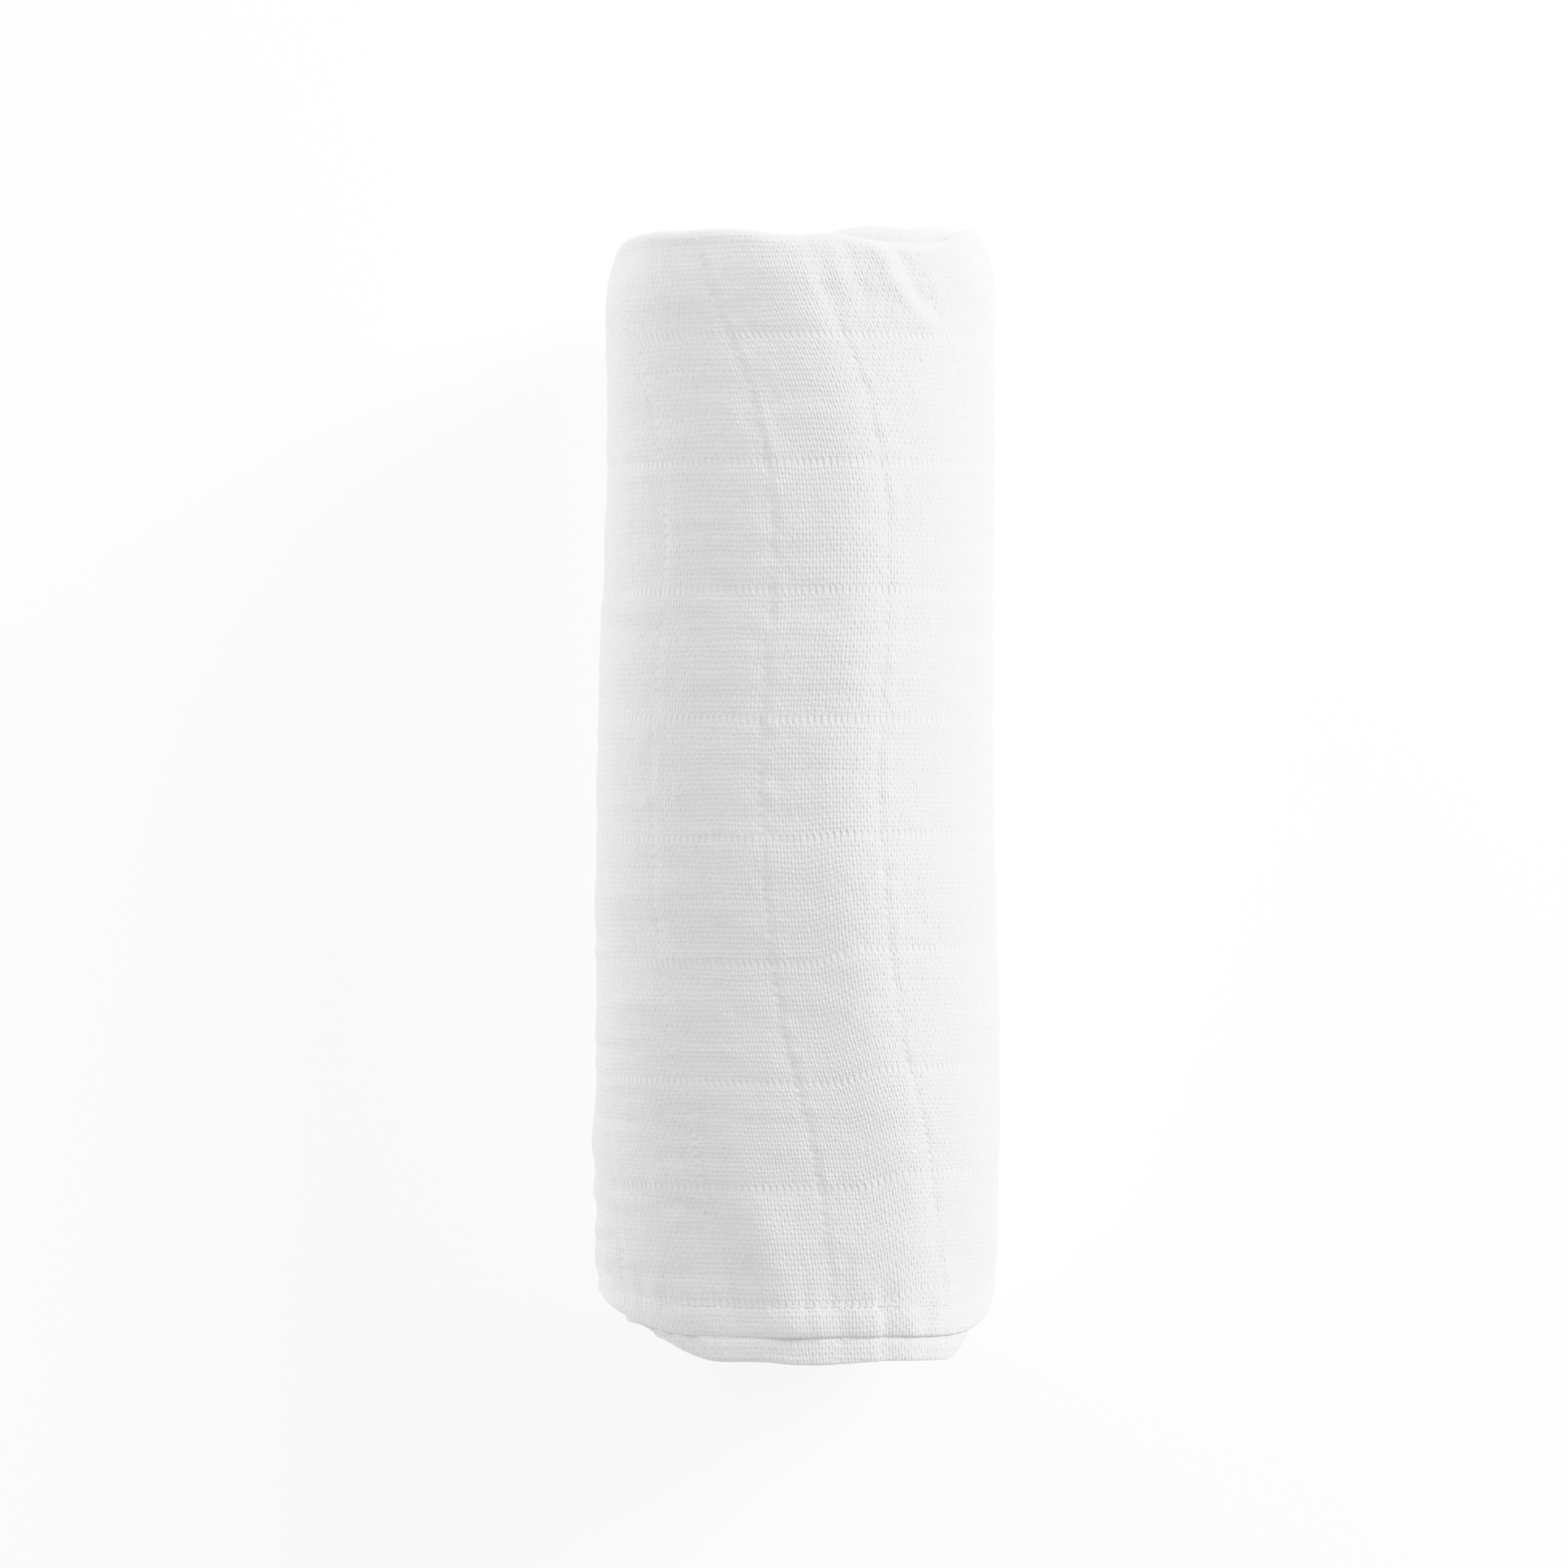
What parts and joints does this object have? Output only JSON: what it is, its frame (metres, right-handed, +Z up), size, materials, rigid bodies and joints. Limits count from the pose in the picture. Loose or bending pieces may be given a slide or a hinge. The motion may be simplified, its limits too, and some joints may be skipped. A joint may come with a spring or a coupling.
{
  "type": "rolled muslin baby wrap",
  "caption": "White double-gauze muslin baby wrap, folded to a four-ply strip and wound into a slightly flattened roll, with a free end that peels back.",
  "frame": {"origin": "middle of the roll's underside, on the surface it rests on", "axes": "+Y along the roll, from the hemmed end to the folded end; +Z up; the free flap is on the -X side"},
  "size_m": [0.0892, 0.2508, 0.0728],
  "materials": {
    "muslin": "matt double gauze",
    "hem": "matt turned-in gauze",
    "thread": "soft cotton",
    "label": "satin ribbon"
  },
  "bodies": {
    "roll": {"outer_turn": "muslin", "outer_turn_side_hem": "hem", "outer_turn_stitching": "thread", "second_turn": "muslin", "second_turn_side_hem": "hem", "second_turn_stitching": "thread", "third_turn": "muslin", "third_turn_side_hem": "hem", "third_turn_stitching": "thread"},
    "core": {"fourth_turn": "muslin", "fourth_turn_side_hem": "hem", "fourth_turn_stitching": "thread", "fifth_turn": "muslin", "fifth_turn_side_hem": "hem", "fifth_turn_stitching": "thread", "sixth_turn": "muslin", "sixth_turn_side_hem": "hem", "sixth_turn_stitching": "thread", "core_turn": "muslin", "core_turn_side_hem": "hem", "core_turn_stitching": "thread", "core_end_hem": "hem"},
    "flap_1": {"flap_1": "muslin", "flap_1_side_hem": "hem", "flap_1_stitching": "thread"},
    "flap_2": {"flap_2": "muslin", "flap_2_side_hem": "hem", "flap_2_stitching": "thread"},
    "flap_3": {"flap_3": "muslin", "flap_3_side_hem": "hem", "flap_3_stitching": "thread"},
    "flap_4": {"flap_4": "muslin", "flap_4_side_hem": "hem", "flap_4_stitching": "thread", "free_end_hem": "hem", "free_end_stitching": "thread", "care_label": "label"}
  },
  "joints": [
    {"name": "core_push_out", "type": "slide", "parent": "roll", "child": "core", "axis": [0, -1, 0], "range_m": [0, 0.03]},
    {"name": "flap_bend_1", "type": "hinge", "parent": "roll", "child": "flap_1", "pos_m": [-0.02338, 0, 0.0678], "axis": [0, 1, 0], "range_deg": [0, 24]},
    {"name": "flap_bend_2", "type": "hinge", "parent": "flap_1", "child": "flap_2", "pos_m": [-0.03675, 0, 0.057], "axis": [0, 1, 0], "range_deg": [0, 24]},
    {"name": "flap_bend_3", "type": "hinge", "parent": "flap_2", "child": "flap_3", "pos_m": [-0.04394, 0, 0.04076], "axis": [0, 1, 0], "range_deg": [0, 24]},
    {"name": "flap_bend_4", "type": "hinge", "parent": "flap_3", "child": "flap_4", "pos_m": [-0.04389, 0, 0.02267], "axis": [0, 1, 0], "range_deg": [0, 24]}
  ],
  "couplings": [
    {"joint": "flap_bend_2", "follows": "flap_bend_1", "ratio": 1},
    {"joint": "flap_bend_3", "follows": "flap_bend_1", "ratio": 1},
    {"joint": "flap_bend_4", "follows": "flap_bend_1", "ratio": 1}
  ]
}
